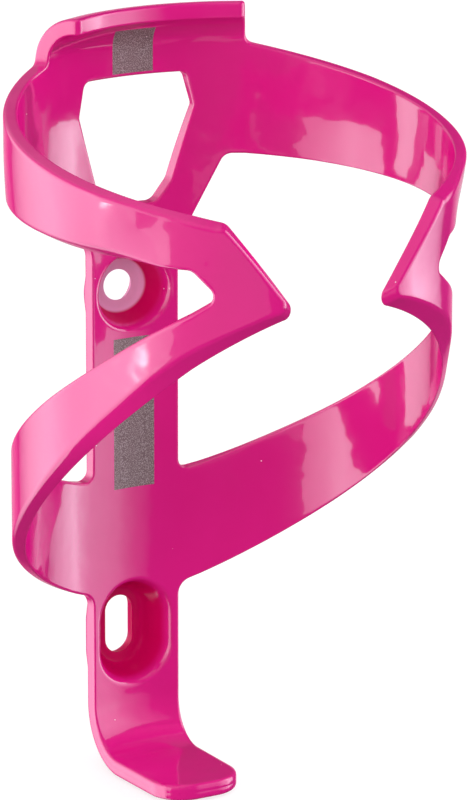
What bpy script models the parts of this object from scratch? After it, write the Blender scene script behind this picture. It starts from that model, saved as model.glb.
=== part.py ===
"""Water bottle cage for a bicycle frame: a nylon sheet bent round the bottle, split into its working regions.

Lengths are metres and angles are degrees. +Z runs up the bottle, -Y faces the front of the cage and +X is the
right-hand side seen from there. The origin lies midway between the two bolts, on the plane that touches the
bicycle frame. Angles round the bottle are measured from the front, so the spine stands at 180.
"""
import math

import bmesh
import bpy
import numpy as np

# Fixing to the bicycle frame
BOLT_SPACING = 0.064
BOLT_HOLE = 0.0055
SLOT_LENGTH = 0.0108
BOSS_DEPTH = 0.0056
BOSS_FLOOR = 0.0028
BOSS_WALL = 0.0015
BOSS_FACE_WIDTH = 0.0112
DISH_WEB = 0.0020
DISH_DRAFT = 0.0020

# Spine, window and the V of the shoulders, widths measured along the curved sheet
SPINE_WIDTH = 0.0180
SPINE_WALL = 0.0029
WINDOW_TOP = 0.0713
WINDOW_HEIGHT = 0.0234
WINDOW_TOP_WIDTH = 0.0208
WINDOW_WIDTH = 0.0236
WINDOW_SHOULDER = 0.0062
WINDOW_BASE_WIDTH = 0.0096
WINDOW_BASE_RISE = 0.0039
WINDOW_BASE_FLARE = 0.0029
LEG_DROP = 0.0080
LEG_SHELF = 0.0036
LEG_FILLET = 0.0022

# Crown and its lip
CROWN_WIDTH = 0.0420
CROWN_HEIGHT = 0.0134
LIP_BEND = 0.0052
LIP_FLAT = 0.0010

# Foot under the bottle
FOOT_DROP = 0.0210
FOOT_BEND = 0.0085
FOOT_REACH = 0.0269
FOOT_WALL = 0.0030
FOOT_TIP_WIDTH = 0.0170
FOOT_CORNER = 0.0040

# The ring that the arms follow, closing in towards the front to grip the bottle
RING_RADIUS = 0.03815
UPPER_WALL = 0.0029
LOWER_WALL = 0.0020
UPPER_CLOSE = 0.0031
UPPER_CLOSE_START = 117.0
UPPER_CLOSE_END = 37.0
UPPER_CLOSE_POWER = 1.5
LOWER_CLOSE = 0.0061
LOWER_CLOSE_START = 130.0
LOWER_CLOSE_END = 18.0
LOWER_CLOSE_POWER = 1.2
CLOSE_BLEND_BOTTOM = 0.044
CLOSE_BLEND_TOP = 0.066

# Arms: heights of the top edge from root to nose, and how tall the band is there
UPPER_TOP_ROOT = 0.0762
UPPER_TOP_MIDDLE = 0.0686
UPPER_TOP_NOSE = 0.0616
UPPER_BAND_ROOT = 0.0201
UPPER_BAND_NOSE = 0.0095
LOWER_TOP_ROOT = -0.0026
LOWER_TOP_BACK = 0.0097
LOWER_TOP_FRONT = 0.0280
LOWER_TOP_NOSE = 0.0444
LOWER_BAND_ROOT = 0.0212
LOWER_BAND_MIDDLE = 0.0169
LOWER_BAND_NOSE = 0.0100
LOWER_ROOT_FILLET = 0.0030

# Nose: where the two arms meet in front, lengths along the sheet from the end of the arms
NOSE_START_ANGLE = 45.0
NOSE_BROW = 0.0065
NOSE_BROW_DROP = 0.0014
NOSE_BROW_ROUND = 0.0012
NOSE_REACH = 0.0208
NOSE_TIP_HEIGHT = 0.0433
NOSE_TIP_ROUND = 0.0018
NOSE_UNDERSIDE_ARCH = 0.0010
NOTCH_SHELF = 0.0005
NOTCH_DEPTH = 0.0053
NOTCH_APEX_RISE = 0.0029
NOTCH_APEX_ROUND = 0.0010

# Clearance between neighbouring regions
GAP = 0.0003

# Colours of the moulding, linear RGB, and its gloss
PINK = (0.70, 0.021, 0.21)
DEEP_PINK = (0.62, 0.017, 0.18)
ROUGHNESS = 0.18

# Fineness of the meshes: rows along each region and points round a dish
SPINE_ROWS = 22
SHOULDER_ROWS = 17
CROWN_ROWS = 21
ARM_ROWS = 33
NOSE_ROWS = 37
BEND_STEPS = 6
DISH_POINTS = 32
SHARP_ANGLE = 40.0

# Values that follow from the sizes above
AXIS_Y = -(RING_RADIUS + SPINE_WALL + BOSS_DEPTH)
BOLT_HEIGHT = BOLT_SPACING / 2
DISH_RADIUS = SPINE_WIDTH / 2 - DISH_WEB
WINDOW_BASE = WINDOW_TOP - WINDOW_HEIGHT
LEG_FOOT_HEIGHT = WINDOW_BASE - LEG_DROP
FOOT_TOP = -BOLT_HEIGHT - FOOT_DROP
SPINE_BOTTOM = FOOT_TOP + FOOT_BEND
CROWN_TOP = WINDOW_TOP + CROWN_HEIGHT


def along(angle):
    """Distance along the sheet from the middle of the spine to an angle round the ring."""
    return RING_RADIUS * np.radians(180.0 - np.asarray(angle, float))


def angle_at(distance):
    """Angle round the ring at a distance along the sheet, the inverse of along."""
    return 180.0 - np.degrees(np.asarray(distance, float) / RING_RADIUS)


UPPER_ROOT = CROWN_WIDTH / 2
LOWER_ROOT = SPINE_WIDTH / 2
NOSE_START = float(along(NOSE_START_ANGLE))


def through(stations, values, x):
    """The polynomial through the given values at the given stations, read at x."""
    total = np.zeros_like(np.asarray(x, float))
    for i, value in enumerate(values):
        term = np.full_like(total, value)
        for j, station in enumerate(stations):
            if j != i:
                term = term * (x - station) / (stations[i] - station)
        total = total + term
    return total


def upper_top(distance):
    share = (distance - UPPER_ROOT) / (NOSE_START - UPPER_ROOT)
    return through((0.0, 0.5, 1.0), (UPPER_TOP_ROOT, UPPER_TOP_MIDDLE, UPPER_TOP_NOSE), share)


def upper_bottom(distance):
    share = (distance - UPPER_ROOT) / (NOSE_START - UPPER_ROOT)
    return upper_top(distance) - through((0.0, 1.0), (UPPER_BAND_ROOT, UPPER_BAND_NOSE), share)


def root_flare(distance):
    """Quarter-round fillet that widens the lower arm where it runs into the spine."""
    short = np.clip(LOWER_ROOT_FILLET - (distance - LOWER_ROOT), 0.0, LOWER_ROOT_FILLET)
    return LOWER_ROOT_FILLET - np.sqrt(LOWER_ROOT_FILLET ** 2 - short ** 2)


def lower_line(distance):
    share = (distance - LOWER_ROOT) / (NOSE_START - LOWER_ROOT)
    heights = (LOWER_TOP_ROOT, LOWER_TOP_BACK, LOWER_TOP_FRONT, LOWER_TOP_NOSE)
    return share, through((0.0, 1 / 3, 2 / 3, 1.0), heights, share)


def lower_top(distance):
    return lower_line(distance)[1] + root_flare(distance)


def lower_bottom(distance):
    share, top = lower_line(distance)
    bands = (LOWER_BAND_ROOT, LOWER_BAND_MIDDLE, LOWER_BAND_NOSE)
    return top - through((0.0, 0.5, 1.0), bands, share) - root_flare(distance)


def closing(angle, start, end, reach, power):
    """How far an arm has closed in at an angle: nothing at start, reach at end, growing by a power."""
    return reach * (np.clip(start - angle, 0.0, None) / (start - end)) ** power


def blend_share(height):
    """0 on the lower arms, 1 on the upper arms, rising evenly across the nose."""
    return np.clip((height - CLOSE_BLEND_BOTTOM) / (CLOSE_BLEND_TOP - CLOSE_BLEND_BOTTOM), 0.0, 1.0)


def ring_inside(angle, height):
    """Radius of the face that touches the bottle."""
    upper = closing(angle, UPPER_CLOSE_START, UPPER_CLOSE_END, UPPER_CLOSE, UPPER_CLOSE_POWER)
    lower = closing(angle, LOWER_CLOSE_START, LOWER_CLOSE_END, LOWER_CLOSE, LOWER_CLOSE_POWER)
    return RING_RADIUS - lower + (lower - upper) * blend_share(height)


def arm_wall(height):
    return LOWER_WALL + (UPPER_WALL - LOWER_WALL) * blend_share(height)


def place(distance, height, depth, side):
    """Point of the bent sheet: distance round from the spine, height, and depth out from the bottle face."""
    angle = angle_at(distance)
    radius = ring_inside(angle, height) + depth
    turn = np.radians(angle)
    return np.stack([side * radius * np.sin(turn), AXIS_Y - radius * np.cos(turn), height], -1)


def rounded(corners, steps=5):
    """Polyline through corners (distance, height, radius), each corner of a radius cut by a tangent arc."""
    points = []
    for k, (s, z, radius) in enumerate(corners):
        here = np.array([s, z])
        if radius == 0.0:
            points.append(here)
            continue
        back = np.array(corners[k - 1][:2]) - here
        on = np.array(corners[k + 1][:2]) - here
        back = back / np.linalg.norm(back)
        on = on / np.linalg.norm(on)
        half = 0.5 * math.acos(float(np.clip(back @ on, -1.0, 1.0)))
        middle = (back + on) / np.linalg.norm(back + on)
        centre = here + middle * radius / math.sin(half)
        first = here + back * radius / math.tan(half) - centre
        last = here + on * radius / math.tan(half) - centre
        for t in np.linspace(0.0, 1.0, steps + 1):
            ray = first * (1 - t) + last * t
            points.append(centre + radius * ray / np.linalg.norm(ray))
    return np.array(points)


def resample(points, count):
    """The same polyline with count points, evenly spaced along it."""
    steps = np.linalg.norm(np.diff(points, axis=0), axis=1)
    length = np.concatenate([[0.0], np.cumsum(steps)])
    want = np.linspace(0.0, length[-1], count)
    return np.stack([np.interp(want, length, points[:, 0]), np.interp(want, length, points[:, 1])], -1)


def nylon(name, colour):
    """Glossy dyed nylon."""
    material = bpy.data.materials.new(name + "_nylon")
    material.use_nodes = True
    shader = material.node_tree.nodes["Principled BSDF"]
    shader.inputs["Base Color"].default_value = (*colour, 1.0)
    shader.inputs["Roughness"].default_value = ROUGHNESS
    shader.inputs["Metallic"].default_value = 0.0
    return material


def new_object(name, points, faces, colour, parent=None):
    """Closed mesh object with outward faces, smooth but for its edges, its origin at its parent's."""
    origin = np.array(parent.location) if parent else np.zeros(3)
    mesh = bpy.data.meshes.new(name)
    mesh.from_pydata((points.reshape(-1, 3) - origin).tolist(), [], faces)
    body = bmesh.new()
    body.from_mesh(mesh)
    bmesh.ops.recalc_face_normals(body, faces=body.faces)
    body.to_mesh(mesh)
    body.free()
    mesh.shade_smooth()
    mesh.set_sharp_from_angle(angle=math.radians(SHARP_ANGLE))
    mesh.materials.append(nylon(name, colour))
    made = bpy.data.objects.new(name, mesh)
    made.parent = parent
    bpy.context.collection.objects.link(made)
    return made


def tube_faces(rings, sides, closed):
    """Quads between rings of points, joined end to end if closed, with caps of two-point rungs if not."""
    faces = []
    for i in range(rings if closed else rings - 1):
        a = i * sides
        b = (i + 1) % rings * sides
        for j in range(sides):
            k = (j + 1) % sides
            faces.append((a + j, a + k, b + k, b + j))
    if not closed:
        for a in (0, (rings - 1) * sides):
            for j in range(sides // 2 - 1):
                faces.append((a + j, a + j + 1, a + sides - 2 - j, a + sides - 1 - j))
    return faces


def sheet_strip(name, first, second, wall, side, colour, across=4, parent=None):
    """Solid strip of the bent sheet between two edges, each an (n, 2) array of distance and height."""
    v = np.linspace(0.0, 1.0, across + 1)[None, :, None]
    flat = first[:, None, :] * (1 - v) + second[:, None, :] * v
    inner = place(flat[..., 0], flat[..., 1], 0.0, side)
    outer = place(flat[..., 0], flat[..., 1], wall(flat[..., 1]), side)
    rings = np.concatenate([inner, outer[:, ::-1]], axis=1)
    faces = tube_faces(len(first), 2 * (across + 1), False)
    return new_object(name, rings, faces, colour, parent)


def edge(function, start, end, count):
    distance = np.linspace(start, end, count)
    return np.stack([distance, function(distance)], -1)


def spine_wall(height):
    return np.full_like(height, SPINE_WALL)


def upper_wall(height):
    return np.full_like(height, UPPER_WALL)


def stadium(radius, straight):
    """Outline in (x, z) of a circle drawn out by a straight length along z, or a circle if that is 0."""
    turn = np.linspace(0.0, 2 * math.pi, DISH_POINTS, endpoint=False) + math.pi / DISH_POINTS
    z = radius * np.sin(turn)
    return np.stack([radius * np.cos(turn), z + np.sign(z) * straight / 2], -1)


def dish_cutter(name, straight, height):
    """Prism of the dish outline that opens the spine for a boss."""
    outline = stadium(DISH_RADIUS, straight)
    points = []
    for y in (AXIS_Y, 0.0):
        points.append(np.stack([outline[:, 0], np.full(len(outline), y), outline[:, 1] + height], -1))
    count = len(outline)
    faces = [(k, (k + 1) % count, count + (k + 1) % count, count + k) for k in range(count)]
    faces.append(tuple(range(count)))
    faces.append(tuple(range(count, 2 * count)))
    cutter = new_object(name, np.concatenate(points), faces, PINK)
    cutter.hide_render = True
    cutter.display_type = "WIRE"
    return cutter


def build_spine(slot_straight):
    """Plate with a concave face, narrowing to the base of the window, opened for the two dishes."""
    half = SPINE_WIDTH / 2
    heights = np.concatenate([np.linspace(SPINE_BOTTOM, LEG_FOOT_HEIGHT, SPINE_ROWS), [WINDOW_BASE]])
    widths = np.concatenate([np.full(SPINE_ROWS, half), [WINDOW_BASE_WIDTH / 2]])
    left = np.stack([-widths, heights], -1)
    right = np.stack([widths, heights], -1)
    spine = sheet_strip("spine", left, right, spine_wall, 1, PINK, across=6)
    openings = (("upper_dish", 0.0, BOLT_HEIGHT), ("lower_dish", slot_straight, -BOLT_HEIGHT))
    for name, straight, height in openings:
        cut = spine.modifiers.new(name, "BOOLEAN")
        cut.operation = "DIFFERENCE"
        cut.object = dish_cutter(name + "_cutter", straight, height)


def build_boss(name, straight, height):
    """Tapered cup whose rim follows the back of the spine and whose flat, pierced face meets the frame."""
    outside = stadium(DISH_RADIUS + BOSS_WALL, straight)
    face = stadium(BOSS_FACE_WIDTH / 2, straight)
    rim = stadium(DISH_RADIUS, straight)
    floor = stadium(DISH_RADIUS - DISH_DRAFT, straight)
    hole = stadium(BOLT_HOLE / 2, straight)

    def seat(outline):
        return AXIS_Y + np.sqrt((RING_RADIUS + SPINE_WALL + GAP) ** 2 - outline[:, 0] ** 2)

    def flat(outline, y):
        return np.full(len(outline), y)

    loops = ((outside, seat(outside)), (face, flat(face, 0.0)), (hole, flat(hole, 0.0)),
             (hole, flat(hole, -BOSS_FLOOR)), (floor, flat(floor, -BOSS_FLOOR)), (rim, seat(rim)))
    rings = np.stack([np.stack([o[:, 0], y, o[:, 1] + height], -1) for o, y in loops], axis=1)
    new_object(name, rings, tube_faces(len(outside), len(loops), True), PINK)


def build_shoulder(name, side):
    """Leg of the V: window edge on one side, outer edge and arm root on the other."""
    base = np.array([WINDOW_BASE_WIDTH / 2, WINDOW_BASE])
    foot = np.array([SPINE_WIDTH / 2, LEG_FOOT_HEIGHT])
    cut = (foot - base) / np.linalg.norm(foot - base)
    off = np.array([-cut[1], cut[0]]) * GAP
    top = WINDOW_TOP - GAP
    root = UPPER_ROOT - GAP / 2
    shelf = float(upper_bottom(root))
    window = [(WINDOW_TOP_WIDTH / 2, top, 0.0),
              (WINDOW_WIDTH / 2, WINDOW_TOP - WINDOW_SHOULDER, 0.0),
              (WINDOW_BASE_WIDTH / 2 + WINDOW_BASE_FLARE, WINDOW_BASE + WINDOW_BASE_RISE, 0.0),
              (*(base + off), 0.0)]
    outer = [(root, top, 0.0),
             (root, shelf, 0.0),
             (UPPER_ROOT - LEG_SHELF, shelf, LEG_FILLET),
             (*(foot + off), 0.0)]
    first = resample(rounded(window), SHOULDER_ROWS)
    second = resample(rounded(outer), SHOULDER_ROWS)
    sheet_strip(name, first, second, upper_wall, side, PINK, across=4)


def build_crown():
    """Bar over the window, carried round the ring, whose top bends in to a lip for the bottle's groove."""
    def bend(radius):
        turn = np.linspace(0.0, math.pi / 2, BEND_STEPS + 1)
        centre = (RING_RADIUS - LIP_BEND, CROWN_TOP - UPPER_WALL - LIP_BEND)
        return np.stack([centre[0] + radius * np.cos(turn), centre[1] + radius * np.sin(turn)], -1)

    lip = RING_RADIUS - LIP_BEND - LIP_FLAT
    inner = np.concatenate([[(RING_RADIUS, WINDOW_TOP)], bend(LIP_BEND), [(lip, CROWN_TOP - UPPER_WALL)]])
    outer = np.concatenate([[(RING_RADIUS + UPPER_WALL, WINDOW_TOP)], bend(LIP_BEND + UPPER_WALL),
                            [(lip, CROWN_TOP)]])
    profile = np.concatenate([inner, outer[::-1]])
    reach = UPPER_ROOT - GAP / 2
    turn = np.radians(angle_at(np.linspace(-reach, reach, CROWN_ROWS)))
    x = np.outer(np.sin(turn), profile[:, 0])
    y = AXIS_Y - np.outer(np.cos(turn), profile[:, 0])
    z = np.broadcast_to(profile[:, 1], x.shape)
    new_object("crown", np.stack([x, y, z], -1), tube_faces(CROWN_ROWS, len(profile), False), PINK)


def build_foot():
    """Tongue that leaves the spine's concave section, bends forward, flattens and ends in a rounded tip."""
    front = AXIS_Y + RING_RADIUS
    start_half = RING_RADIUS * math.sin(SPINE_WIDTH / 2 / RING_RADIUS)
    run = FOOT_REACH - FOOT_BEND
    bend = np.linspace(GAP / FOOT_BEND, math.pi / 2, 2 * BEND_STEPS + 1)
    straight = np.linspace(0.0, run - FOOT_CORNER, BEND_STEPS)[1:]
    corner = run - FOOT_CORNER + FOOT_CORNER * np.sin(np.linspace(0.0, math.pi / 2, BEND_STEPS)[1:])
    ahead = np.concatenate([straight, corner])
    turn = np.concatenate([bend, np.full(len(ahead), math.pi / 2)])
    past = np.concatenate([np.zeros(len(bend)), ahead])
    path_y = front - FOOT_BEND * (1 - np.cos(turn)) - past
    path_z = SPINE_BOTTOM - FOOT_BEND * np.sin(turn)
    normal_y = -np.cos(turn)
    normal_z = np.sin(turn)
    short = np.clip(past - (run - FOOT_CORNER), 0.0, FOOT_CORNER)
    trim = FOOT_CORNER - np.sqrt(FOOT_CORNER ** 2 - short ** 2)
    half = start_half + (FOOT_TIP_WIDTH / 2 - start_half) * past / run - trim
    share = turn / (math.pi / 2)
    fade = 1 - share * share * (3 - 2 * share)
    wall = SPINE_WALL + (FOOT_WALL - SPINE_WALL) * share
    x = half[:, None] * np.linspace(-1.0, 1.0, 7)[None, :]
    sag = (RING_RADIUS - np.sqrt(RING_RADIUS ** 2 - x ** 2)) * fade[:, None]

    def face(depth):
        lift = sag - depth[:, None]
        return np.stack([x, path_y[:, None] + normal_y[:, None] * lift,
                         path_z[:, None] + normal_z[:, None] * lift], -1)

    rings = np.concatenate([face(0.0 * wall), face(wall)[:, ::-1]], axis=1)
    new_object("bottle_foot", rings, tube_faces(len(turn), rings.shape[1], False), PINK)


def nose_outlines():
    """Outer edge over the brow and the tip, and inner edge round the notch, both from upper to lower arm."""
    start = NOSE_START + GAP / 2
    tip = NOSE_START + NOSE_REACH
    upper = float(upper_top(NOSE_START))
    under_start = float(lower_bottom(NOSE_START))
    share = np.linspace(0.0, 1.0, 9)[1:]
    arch = 4 * NOSE_UNDERSIDE_ARCH * share * (1 - share)
    under_s = tip + (start - tip) * share
    under_z = NOSE_TIP_HEIGHT + (under_start - NOSE_TIP_HEIGHT) * share + arch
    outer = [(start, upper, 0.0),
             (NOSE_START + NOSE_BROW, upper - NOSE_BROW_DROP, NOSE_BROW_ROUND),
             (tip, NOSE_TIP_HEIGHT, NOSE_TIP_ROUND)]
    outer += [(s, z, 0.0) for s, z in zip(under_s, under_z)]
    notch_top = float(upper_bottom(NOSE_START))
    notch_low = float(lower_top(NOSE_START))
    inner = [(start, notch_top, 0.0),
             (NOSE_START + NOTCH_SHELF, notch_top, 0.0),
             (NOSE_START + NOTCH_DEPTH, notch_low + NOTCH_APEX_RISE, NOTCH_APEX_ROUND),
             (start, notch_low, 0.0)]
    return rounded(outer), rounded(inner)


def build_arm(label, side):
    """One spring arm: upper band, nose and lower band, hung on an empty on the line through its two roots."""
    upper_pivot = place(UPPER_ROOT, UPPER_TOP_ROOT - UPPER_BAND_ROOT / 2, UPPER_WALL / 2, side)
    lower_pivot = place(LOWER_ROOT, LOWER_TOP_ROOT - LOWER_BAND_ROOT / 2, LOWER_WALL / 2, side)
    hinge = bpy.data.objects.new(label + "_arm_flex", None)
    hinge.location = (upper_pivot + lower_pivot) / 2
    bpy.context.collection.objects.link(hinge)
    half = GAP / 2
    end = NOSE_START - half
    first = edge(upper_top, UPPER_ROOT + half, end, ARM_ROWS)
    second = edge(upper_bottom, UPPER_ROOT + half, end, ARM_ROWS)
    sheet_strip(label + "_upper_arm", first, second, arm_wall, side, PINK, across=3, parent=hinge)
    root = LOWER_ROOT + GAP
    near_root = root + LOWER_ROOT_FILLET * (1 - np.cos(np.linspace(0.0, math.pi / 2, BEND_STEPS)))[:-1]
    span = np.concatenate([near_root, np.linspace(root + LOWER_ROOT_FILLET, end, ARM_ROWS)])
    first = np.stack([span, lower_top(span)], -1)
    second = np.stack([span, lower_bottom(span)], -1)
    sheet_strip(label + "_lower_arm", first, second, arm_wall, side, PINK, across=3, parent=hinge)
    outer, inner = nose_outlines()
    first = resample(outer, NOSE_ROWS)
    second = resample(inner, NOSE_ROWS)
    sheet_strip(label + "_nose", first, second, arm_wall, side, DEEP_PINK, across=4, parent=hinge)


for old in list(bpy.data.objects):
    bpy.data.objects.remove(old)

SLOT_STRAIGHT = SLOT_LENGTH - BOLT_HOLE
build_spine(SLOT_STRAIGHT)
build_boss("upper_bolt_boss", 0.0, BOLT_HEIGHT)
build_boss("lower_bolt_boss", SLOT_STRAIGHT, -BOLT_HEIGHT)
build_foot()
build_crown()
for arm_label, arm_side in (("left", -1), ("right", 1)):
    build_shoulder(arm_label + "_shoulder", arm_side)
    build_arm(arm_label, arm_side)
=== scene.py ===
"""Water bottle cage of glossy dyed nylon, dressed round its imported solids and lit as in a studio."""
import math

import bpy
import numpy as np
from mathutils import Matrix, Vector
from mathutils.geometry import delaunay_2d_cdt


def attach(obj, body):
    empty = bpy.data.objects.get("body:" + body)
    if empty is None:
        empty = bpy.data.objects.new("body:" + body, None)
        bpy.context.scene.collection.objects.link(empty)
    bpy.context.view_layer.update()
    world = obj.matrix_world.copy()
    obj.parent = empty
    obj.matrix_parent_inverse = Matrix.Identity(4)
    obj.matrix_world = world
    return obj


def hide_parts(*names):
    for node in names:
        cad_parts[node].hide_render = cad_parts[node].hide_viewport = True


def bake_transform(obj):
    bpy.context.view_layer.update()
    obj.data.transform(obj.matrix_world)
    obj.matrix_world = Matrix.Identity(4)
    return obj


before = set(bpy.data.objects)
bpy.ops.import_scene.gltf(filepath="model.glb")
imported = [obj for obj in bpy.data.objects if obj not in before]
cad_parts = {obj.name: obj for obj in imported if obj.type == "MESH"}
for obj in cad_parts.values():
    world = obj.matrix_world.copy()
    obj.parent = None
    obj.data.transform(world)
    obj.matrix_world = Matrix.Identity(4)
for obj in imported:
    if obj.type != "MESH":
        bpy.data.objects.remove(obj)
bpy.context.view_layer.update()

# The moulding as a flat pattern: the real cage is one sheet of nylon, shot in a mould. Its outline is given
# before the sheet is bent, as distance round the bottle from the middle of the spine and as height.
# Sizes are those of the solids, in metres; angles round the bottle are in degrees from the front.
RING_RADIUS = 0.03815
SPINE_WALL = 0.0029
BOSS_DEPTH = 0.0056
AXIS_Y = -(RING_RADIUS + SPINE_WALL + BOSS_DEPTH)

UPPER_ROOT = 0.0210
LOWER_ROOT = 0.0090
NOSE_START = RING_RADIUS * math.radians(135.0)
UPPER_TOP_HEIGHTS = (0.0762, 0.0686, 0.0616)
UPPER_BANDS = (0.0201, 0.0095)
LOWER_TOP_HEIGHTS = (-0.0026, 0.0097, 0.0280, 0.0444)
LOWER_BANDS = (0.0212, 0.0169, 0.0100)


def through(values, share):
    """The polynomial through values given at even shares of a length from 0 to 1."""
    stations = np.linspace(0.0, 1.0, len(values))
    return np.polyval(np.polyfit(stations, values, len(values) - 1), share)


def upper_top(distance):
    """Top edge of an upper arm: the polynomial through UPPER_TOP_HEIGHTS, from the root to the nose."""
    return through(UPPER_TOP_HEIGHTS, (distance - UPPER_ROOT) / (NOSE_START - UPPER_ROOT))


def upper_bottom(distance):
    """Lower edge of an upper arm: its top edge less a band that narrows evenly through UPPER_BANDS."""
    share = (distance - UPPER_ROOT) / (NOSE_START - UPPER_ROOT)
    return upper_top(distance) - through(UPPER_BANDS, share)


def lower_top(distance):
    """Top edge of a lower arm: the polynomial through LOWER_TOP_HEIGHTS, from the root to the nose."""
    return through(LOWER_TOP_HEIGHTS, (distance - LOWER_ROOT) / (NOSE_START - LOWER_ROOT))


def lower_bottom(distance):
    """Lower edge of a lower arm: its top edge less the polynomial through LOWER_BANDS."""
    share = (distance - LOWER_ROOT) / (NOSE_START - LOWER_ROOT)
    return lower_top(distance) - through(LOWER_BANDS, share)


NOSE_LENGTH = 0.0208
NOSE_TIP = NOSE_START + NOSE_LENGTH
NOSE_TIP_HEIGHT = 0.0433
NOSE_TIP_ROUND = 0.0018
NOSE_TIP_RUN = 0.0032
BROW_REACH = 0.0065
BROW_DROP = 0.0014
BROW = (NOSE_START + BROW_REACH, float(upper_top(NOSE_START)) - BROW_DROP)
BROW_ROUND = 0.0026
UNDERSIDE_ARCH = 0.0010
NOTCH_SHELF = 0.0005
NOTCH_DEPTH = 0.0053
NOTCH_RISE = 0.0029
NOTCH_APEX_ROUND = 0.0017
NOTCH_SHELF_ROUND = 0.0022
NOTCH_RUN = 0.002


def underside(distance):
    """Lower edge of the nose: a straight line from the lower arm to the tip, arched by a parabola."""
    share = (distance - NOSE_START) / (NOSE_TIP - NOSE_START)
    start = lower_bottom(NOSE_START)
    return start + (NOSE_TIP_HEIGHT - start) * share + 4 * UNDERSIDE_ARCH * share * (1 - share)


def rounded(corners, steps=10):
    """Polyline through corners (distance, height, radius), each corner of a radius cut by a tangent arc."""
    points = []
    for k, (s, z, radius) in enumerate(corners):
        here = np.array([s, z])
        if radius == 0.0:
            points.append(here[None])
            continue
        back = np.array(corners[k - 1][:2]) - here
        on = np.array(corners[(k + 1) % len(corners)][:2]) - here
        back = back / np.linalg.norm(back)
        on = on / np.linalg.norm(on)
        half = 0.5 * math.acos(np.clip(back @ on, -1.0, 1.0))
        centre = here + (back + on) / np.linalg.norm(back + on) * radius / math.sin(half)
        first = here + back * radius / math.tan(half) - centre
        last = here + on * radius / math.tan(half) - centre
        t = np.linspace(0.0, 1.0, steps + 1)[:, None]
        ray = first * (1 - t) + last * t
        points.append(centre + radius * ray / np.linalg.norm(ray, axis=1, keepdims=True))
    return np.concatenate(points)


def curve(function, start, end, count=40):
    """Corners of no radius along a curve of height over distance."""
    distance = np.linspace(start, end, count)
    return [(s, z, 0.0) for s, z in zip(distance, function(distance))]


EDGE_STEP = 0.0003


def stepped(points):
    """The polyline cut into even steps of about EDGE_STEP, its last point left to the piece that follows."""
    steps = np.linalg.norm(np.diff(points, axis=0), axis=1)
    length = np.concatenate([[0.0], np.cumsum(steps)])
    count = max(2, int(math.ceil(length[-1] / EDGE_STEP)))
    want = np.linspace(0.0, length[-1], count, endpoint=False)
    return np.stack([np.interp(want, length, points[:, 0]), np.interp(want, length, points[:, 1])], -1)


CUT_UPPER = 0.0240
CUT_LOWER = 0.0130
BOLT_HEIGHT = 0.0320
FOOT_DROP = 0.0210
FOOT_TOP = -BOLT_HEIGHT - FOOT_DROP
FOOT_BEND = 0.0085
FOOT_REACH = 0.0269
FOOT_WALL = 0.0030
FOOT_CORNER = 0.0065
SPINE_BOTTOM = FOOT_TOP + FOOT_BEND
FOOT_END = SPINE_BOTTOM - FOOT_BEND * math.pi / 2 - (FOOT_REACH - FOOT_BEND)
FOOT_HALF = 0.0085
WINDOW_TOP = 0.0713
WINDOW_HEIGHT = 0.0234
WINDOW_BASE = WINDOW_TOP - WINDOW_HEIGHT
LEG_DROP = 0.0080
LEG_FOOT_HEIGHT = WINDOW_BASE - LEG_DROP
CROWN_WALL = 0.0029
CROWN_HEIGHT = 0.0134
CROWN_TOP = WINDOW_TOP + CROWN_HEIGHT
LIP_BEND = 0.0052
LIP_FLAT = 0.0010
LIP_START = CROWN_TOP - CROWN_WALL - LIP_BEND
LIP_END = LIP_START + LIP_BEND * math.pi / 2 + LIP_FLAT
LIP_CORNER_ROUND = 0.0011
CROWN_FOOT_ROUND = 0.0016
FOOT_ROOT_ROUND = 0.0030
SHOULDER_STEP = 0.0036
SHOULDER_ROUNDS = (0.003, 0.0022)
LEG_FOOT_ROUND = 0.0040
LOWER_ROOT_ROUND = 0.0017

top_side = rounded([(0.0, LIP_END, 0.0), (UPPER_ROOT, LIP_END, LIP_CORNER_ROUND),
                    (UPPER_ROOT, upper_top(UPPER_ROOT), CROWN_FOOT_ROUND),
                    (CUT_UPPER, upper_top(CUT_UPPER), 0.0)])
arm_outside = rounded(curve(upper_top, CUT_UPPER, NOSE_START) + [(*BROW, BROW_ROUND)]
                      + [(NOSE_TIP, NOSE_TIP_HEIGHT, NOSE_TIP_ROUND)]
                      + curve(underside, NOSE_TIP - NOSE_TIP_RUN, NOSE_START, 20)
                      + curve(lower_bottom, NOSE_START, CUT_LOWER)[1:])
foot_side = rounded([(CUT_LOWER, lower_bottom(CUT_LOWER), 0.0),
                     (LOWER_ROOT, lower_bottom(LOWER_ROOT), FOOT_ROOT_ROUND),
                     (LOWER_ROOT, SPINE_BOTTOM, 0.0), (FOOT_HALF, FOOT_END, FOOT_CORNER),
                     (0.0, FOOT_END, 0.0)])
notch_top = float(upper_bottom(NOSE_START))
notch_low = float(lower_top(NOSE_START))
arm_inside = rounded(curve(lower_top, CUT_LOWER, NOSE_START)
                     + [(NOSE_START + NOTCH_DEPTH, notch_low + NOTCH_RISE, NOTCH_APEX_ROUND),
                        (NOSE_START + NOTCH_SHELF, notch_top, NOTCH_SHELF_ROUND)]
                     + curve(upper_bottom, NOSE_START - NOTCH_RUN, CUT_UPPER))
shelf = float(upper_bottom(UPPER_ROOT))
spine_side = rounded([(CUT_UPPER, upper_bottom(CUT_UPPER), 0.0), (UPPER_ROOT, shelf, SHOULDER_ROUNDS[0]),
                      (UPPER_ROOT - SHOULDER_STEP, shelf, SHOULDER_ROUNDS[1]),
                      (LOWER_ROOT, LEG_FOOT_HEIGHT, LEG_FOOT_ROUND),
                      (LOWER_ROOT, lower_top(LOWER_ROOT), LOWER_ROOT_ROUND),
                      (CUT_LOWER, lower_top(CUT_LOWER), 0.0)])
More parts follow.
